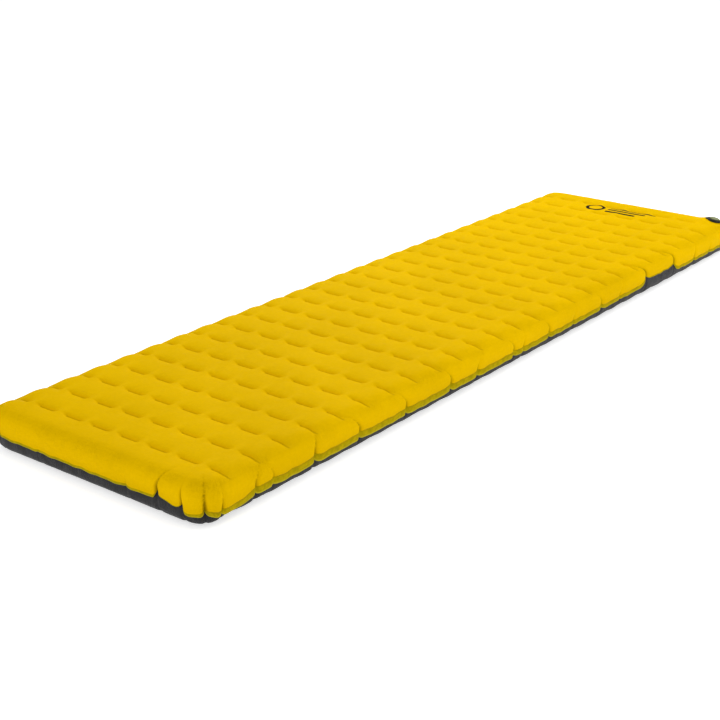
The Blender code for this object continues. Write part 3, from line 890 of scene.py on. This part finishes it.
def weave(g, s, t):
    """The height of a plain weave with the thicker grid threads of a ripstop."""
    threads = g.math("MULTIPLY", g.ripple(s, THREAD), g.ripple(t, THREAD))
    grid_s = g.ease(g.to_line(s, RIPSTOP, 0), 0.0002, 0.0006, 1.0, 0.0)
    grid_t = g.ease(g.to_line(t, RIPSTOP, 0), 0.0002, 0.0006, 1.0, 0.0)
    grid = g.math("MAXIMUM", grid_s, grid_t)
    return g.math("MULTIPLY_ADD", grid, 0.5, threads), grid


def weld_marks(g, s, t):
    """1 on the pressed strip of each weld dash, 0 elsewhere."""
    end = g.ease(g.to_line(s, COLUMN_PITCH, 0.5), *WELD_MARK_END, 1.0, 0.0)
    edge = g.ease(g.to_line(t, ROW_PITCH, 0.5), *WELD_MARK_EDGE, 1.0, 0.0)
    inside_s = g.math("LESS_THAN", g.math("ABSOLUTE", s), column_x(COLUMNS - 0.5))
    inside_t = g.math("LESS_THAN", g.math("ABSOLUTE", t), row_y(ROWS - 0.5))
    at_valve = g.math(
        "MULTIPLY",
        g.math("GREATER_THAN", s, column_x(COLUMNS - 1.5)),
        g.math("GREATER_THAN", t, row_y(ROWS - 1.5)),
    )
    inside = g.math("MULTIPLY", g.math("MULTIPLY", inside_s, inside_t), g.math("SUBTRACT", 1.0, at_valve))
    return g.math("MULTIPLY", g.math("MULTIPLY", end, edge), inside)


def printed_mark(g, s, t):
    """1 on the plain mark printed at the head end: a ring and three stripes, each shorter than the last."""
    up = g.math("SUBTRACT", t, MARK_Y)
    from_ring = g.join(g.math("SUBTRACT", s, MARK_LEFT + RING), up, 0.0)
    radius = g.node("ShaderNodeVectorMath", {0: from_ring}, output="Value", operation="LENGTH")
    off_ring = g.math("ABSOLUTE", g.math("SUBTRACT", radius, RING - STROKE / 2))
    mark = g.ease(off_ring, STROKE / 2 - SOFT, STROKE / 2 + SOFT, 1.0, 0.0)
    for i, length in enumerate(STRIPES):
        off = g.math("ABSOLUTE", g.math("SUBTRACT", up, (1 - i) * STRIPE_PITCH))
        beside = g.ease(off, STROKE / 2 - SOFT, STROKE / 2 + SOFT, 1.0, 0.0)
        middle = STRIPES_LEFT + length / 2
        past = g.math("ABSOLUTE", g.math("SUBTRACT", s, middle))
        within = g.ease(past, length / 2 - SOFT, length / 2 + SOFT, 1.0, 0.0)
        mark = g.math("MAXIMUM", mark, g.math("MULTIPLY", beside, within))
    return mark


def fabric_base(g, colour, s, t):
    """A fabric's shared looks: its colour with uneven dyeing, its weave and its fine crinkles."""
    uv = g.node("ShaderNodeUVMap", {}, uv_map="fabric")
    broad = g.ease(g.noise(uv, 5.0, 2.0), 0.3, 0.7, 0.965, 1.03)
    fine = g.ease(g.noise(uv, 160.0, 4.0, 0.6), 0.3, 0.7, 0.975, 1.02)
    threads, grid = weave(g, s, t)
    shade = g.math("MULTIPLY", g.math("MULTIPLY", broad, fine), g.math("MULTIPLY_ADD", grid, -0.015, 1.0))
    return g.tint(colour, shade), threads


def edge_crinkles(g):
    """Small upright wrinkles where the fabric turns round the edge."""
    x, y, run = g.split(g.stored("edge", "Vector"))
    coords = g.join(g.math("MULTIPLY", x, 2.5), g.math("MULTIPLY", y, 2.5), run)
    streaks = g.noise(coords, 130.0, 4.0, 0.65)
    rising = g.ease(run, CORNER + 0.3 * TUBE, CORNER + 0.75 * TUBE)
    falling = g.ease(run, CORNER + 0.9 * TUBE, CORNER + 1.5 * TUBE, 1.0, 0.25)
    broken = g.ease(g.noise(g.join(x, y, run), 28.0, 2.0), 0.35, 0.60)
    sharp = g.math("MULTIPLY", g.math("SUBTRACT", streaks, 0.5), broken)
    return g.math("MULTIPLY", sharp, g.math("MULTIPLY", rising, falling))


def top_material():
    g = Graph("top fabric")
    uv = g.node("ShaderNodeUVMap", {}, uv_map="fabric")
    s, t, _ = g.split(uv)
    colour, threads = fabric_base(g, YELLOW, s, t)
    welded = weld_marks(g, s, t)
    colour = g.tint(colour, g.math("MULTIPLY_ADD", welded, -0.16, 1.0))
    crease = g.stored("crease", "Fac")
    # Painted shade: the fabric is darkened towards CREASE_SHADE_YELLOW the deeper a pucker's crease is.
    colour = g.mix(g.ease(crease, 0.0005, 0.0045, 0.0, 0.7), colour, CREASE_SHADE_YELLOW)
    _, _, run = g.split(g.stored("edge", "Vector"))
    # Painted shade: the fabric is made up to 12% darker down the lower flank towards the seam.
    colour = g.tint(colour, g.ease(run, CORNER + 0.9 * TUBE, CORNER + 1.7 * TUBE, 1.0, 0.88))
    lap = g.stored("lap", "Fac")
    patches = g.noise(uv, 90.0, 3.0, 0.6)
    olive = g.mix(g.ease(patches, 0.35, 0.65), OLIVE, DARK_OLIVE)
    rim = g.ease(lap, 0.56, 0.64)
    band = g.mix(rim, olive, RIM_YELLOW)
    # Painted shadow: a darker line along the band's top edge, under the tube's bulge.
    band = g.mix(g.ease(lap, 0.02, 0.16, 1.0, 0.0), band, SEAM_SHADOW_OLIVE)
    colour = g.mix(g.ease(lap, 0.0, 0.05), colour, band)
    mark = printed_mark(g, s, t)
    worn = g.ease(g.noise(uv, 700.0, 2.0), 0.25, 0.36)
    colour = g.mix(g.math("MULTIPLY", mark, worn), colour, PRINT_BLACK)
    g.shade(Base_Color=colour)
    rough = g.ease(g.noise(uv, 60.0, 3.0), 0.3, 0.7, 0.50, 0.62)
    g.shade(Roughness=g.math("MULTIPLY_ADD", welded, -0.12, rough))
    one_way = g.ripple(g.math("ADD", s, t), KNURL_PERIOD)
    other_way = g.ripple(g.math("SUBTRACT", s, t), KNURL_PERIOD)
    knurl = g.math("MULTIPLY", one_way, other_way)
    normal = g.bump(edge_crinkles(g), 0.0022)
    normal = g.bump(g.noise(uv, 110.0, 4.0, 0.6), 0.0006, normal=normal)
    normal = g.bump(g.math("MULTIPLY", welded, knurl), 0.0003, normal=normal)
    normal = g.bump(threads, 0.00010, normal=normal)
    g.shade(Normal=normal)
    g.shade(IOR=1.03, Specular_Tint=WARM, Sheen_Weight=0.04, Sheen_Roughness=0.4, Sheen_Tint=WARM)
    return g.material


def bottom_material():
    g = Graph("bottom fabric")
    uv = g.node("ShaderNodeUVMap", {}, uv_map="fabric")
    s, t, _ = g.split(uv)
    colour, threads = fabric_base(g, CHARCOAL, s, t)
    welded = weld_marks(g, s, t)
    colour = g.tint(colour, g.math("MULTIPLY_ADD", welded, -0.2, 1.0))
    _, _, z = g.split(g.place())
    rubbed = g.ease(g.noise(uv, 38.0, 6.0, 0.7), 0.56, 0.70)
    colour = g.mix(g.math("MULTIPLY", rubbed, g.ease(z, 0.001, 0.006, 0.5, 0.0)), colour, DUST)
    g.shade(Base_Color=colour)
    g.shade(Roughness=g.ease(g.noise(uv, 60.0, 3.0), 0.3, 0.7, 0.50, 0.66))
    normal = g.bump(edge_crinkles(g), 0.0022)
    normal = g.bump(g.noise(uv, 110.0, 4.0, 0.6), 0.0006, normal=normal)
    normal = g.bump(threads, 0.00012, normal=normal)
    g.shade(Normal=normal)
    g.shade(Specular_IOR_Level=0.25, Sheen_Weight=0.03, Sheen_Roughness=0.4)
    return g.material


def web_material():
    """The thin coated fabric of the inner walls."""
    g = Graph("web fabric")
    x, _, z = g.split(g.place())
    threads, _ = weave(g, x, z)
    clouds = g.noise(g.place(), 30.0, 3.0)
    g.shade(Base_Color=g.mix(g.ease(clouds, 0.3, 0.7), WEB_GREY, PALE_WEB_GREY))
    g.shade(Roughness=g.ease(clouds, 0.3, 0.7, 0.45, 0.6))
    g.shade(Normal=g.bump(threads, 0.0001))
    return g.material


def moulded_material(name, colour, roughness, grain, depth, wear):
    """A moulded plastic or rubber: a fine grained skin, paler and smoother where it is rubbed."""
    g = Graph(name)
    place = g.place()
    speckle = g.noise(place, grain, 4.0, 0.6)
    patches = g.noise(place, 90.0, 3.0)
    rubbed = g.ease(patches, 0.52, 0.70)
    grains = g.ease(speckle, 0.3, 0.7, 0.93, 1.07)
    shade = g.math("MULTIPLY", grains, g.math("MULTIPLY_ADD", rubbed, wear, 1.0))
    g.shade(Base_Color=g.tint(colour, shade))
    rough = g.ease(speckle, 0.3, 0.7, roughness - 0.05, roughness + 0.05)
    g.shade(Roughness=g.math("MULTIPLY_ADD", rubbed, -0.08, rough))
    g.shade(Normal=g.bump(speckle, depth))
    g.shade(Specular_IOR_Level=0.5)
    return g.material


def paint(node, material):
    """Give a carried-over part its material."""
    mesh = bpy.data.objects[node].data
    mesh.materials.clear()
    mesh.materials.append(material)


# ---- the object ----

puckers = all_puckers()
shells = ((TOP, top_material(), "top_shell"), (BOTTOM, bottom_material(), "bottom_shell"))
for skin, material, replaced in shells:
    made = shell(skin, puckers)
    made.data.materials.append(material)
    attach(made, "pad")
    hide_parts(replaced)

web_fabric = web_material()
black_plastic = moulded_material("valve plastic", VALVE_BLACK, 0.48, 2500.0, 0.00003, 0.25)
olive_plastic = moulded_material("valve cap plastic", CAP_OLIVE, 0.42, 2500.0, 0.00003, 0.10)
rubber = moulded_material("valve rubber", RUBBER_BLACK, 0.68, 1500.0, 0.00004, 0.15)
for name in frame["nodes"]:
    if name.startswith("web_"):
        paint(name, web_fabric)
for name in ("backing_patch", "bleed_button"):
    paint(name, black_plastic)
for made, replaced, body, slot in moulded_parts():
    made.data.shade_smooth()
    made.data.set_sharp_from_angle(angle=SHARP_EDGE)
    made.data.materials.clear()
    made.data.materials.append(olive_plastic if slot == "valve_cap" else black_plastic)
    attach(made, body)
    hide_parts(replaced)
for name in ("plug_seal", "cap_seal", "one_way_flap"):
    paint(name, rubber)
strap("plug_strap", "plug_hinge").data.materials.append(rubber)
strap("cap_strap", "cap_hinge").data.materials.append(rubber)

# ---- camera, floor and light ----

CAMERA_AZIMUTH = math.radians(37.97)
CAMERA_ELEVATION = math.radians(21.26)
CAMERA_DISTANCE = 2.577
CAMERA_LENS = 69.4  # in mm, on a sensor 36 mm wide
AIM = Vector((0.0586, -0.2972, 0.040))
FLOOR = 300  # half the floor's width, so that its edge is out of sight
FLOOR_GLOW = 0.56
WORLD_LIGHT = 0.53

scene = bpy.context.scene


def add_to_scene(name, data):
    made = bpy.data.objects.new(name, data)
    scene.collection.objects.link(made)
    return made


def aim_at(thing, target):
    thing.rotation_euler = (thing.location - target).to_track_quat("Z", "Y").to_euler()


camera = add_to_scene("camera", bpy.data.cameras.new("camera"))
level = math.cos(CAMERA_ELEVATION)
away = (math.sin(CAMERA_AZIMUTH) * level, -math.cos(CAMERA_AZIMUTH) * level, math.sin(CAMERA_ELEVATION))
camera.location = AIM + Vector(away) * CAMERA_DISTANCE
aim_at(camera, AIM)
camera.data.sensor_width = 36
camera.data.lens = CAMERA_LENS
scene.camera = camera

floor_mesh = bpy.data.meshes.new("floor")
floor_corners = [(-FLOOR, -FLOOR, 0), (FLOOR, -FLOOR, 0), (FLOOR, FLOOR, 0), (-FLOOR, FLOOR, 0)]
floor_mesh.from_pydata(floor_corners, [], [(0, 1, 2, 3)])
floor = add_to_scene("floor", floor_mesh)
white = Graph("floor")
white.shade(Base_Color=(0.9, 0.9, 0.9, 1), Roughness=0.8, Specular_IOR_Level=0.1)
white.shade(Emission_Color=(1, 1, 1, 1), Emission_Strength=FLOOR_GLOW)
floor_mesh.materials.append(white.material)

world = bpy.data.worlds.new("studio")
world.use_nodes = True
world.node_tree.nodes["Background"].inputs["Color"].default_value = (1, 1, 1, 1)
world.node_tree.nodes["Background"].inputs["Strength"].default_value = WORLD_LIGHT
scene.world = world


def soft_light(name, place, target, size, watts):
    light = add_to_scene(name, bpy.data.lights.new(name, "AREA"))
    light.data.size = size
    light.data.energy = watts
    light.location = place
    aim_at(light, Vector(target))
    return light


soft_light("overhead", (0.7, 0.3, 2.5), (0.1, 0.1, 0), 2.8, 22)
soft_light("key", (-1.7, 1.7, 1.7), (0, 0, 0.05), 1.0, 32)
side = soft_light("side", (1.7, 2.7, 1.35), (0, 0, 0.03), 1.2, 22)
side.data.use_shadow = False
front = soft_light("front", (-0.9, -3.2, 0.9), (0, -0.7, 0.03), 1.2, 10)
front.data.use_shadow = False
scene.view_settings.view_transform = "Standard"
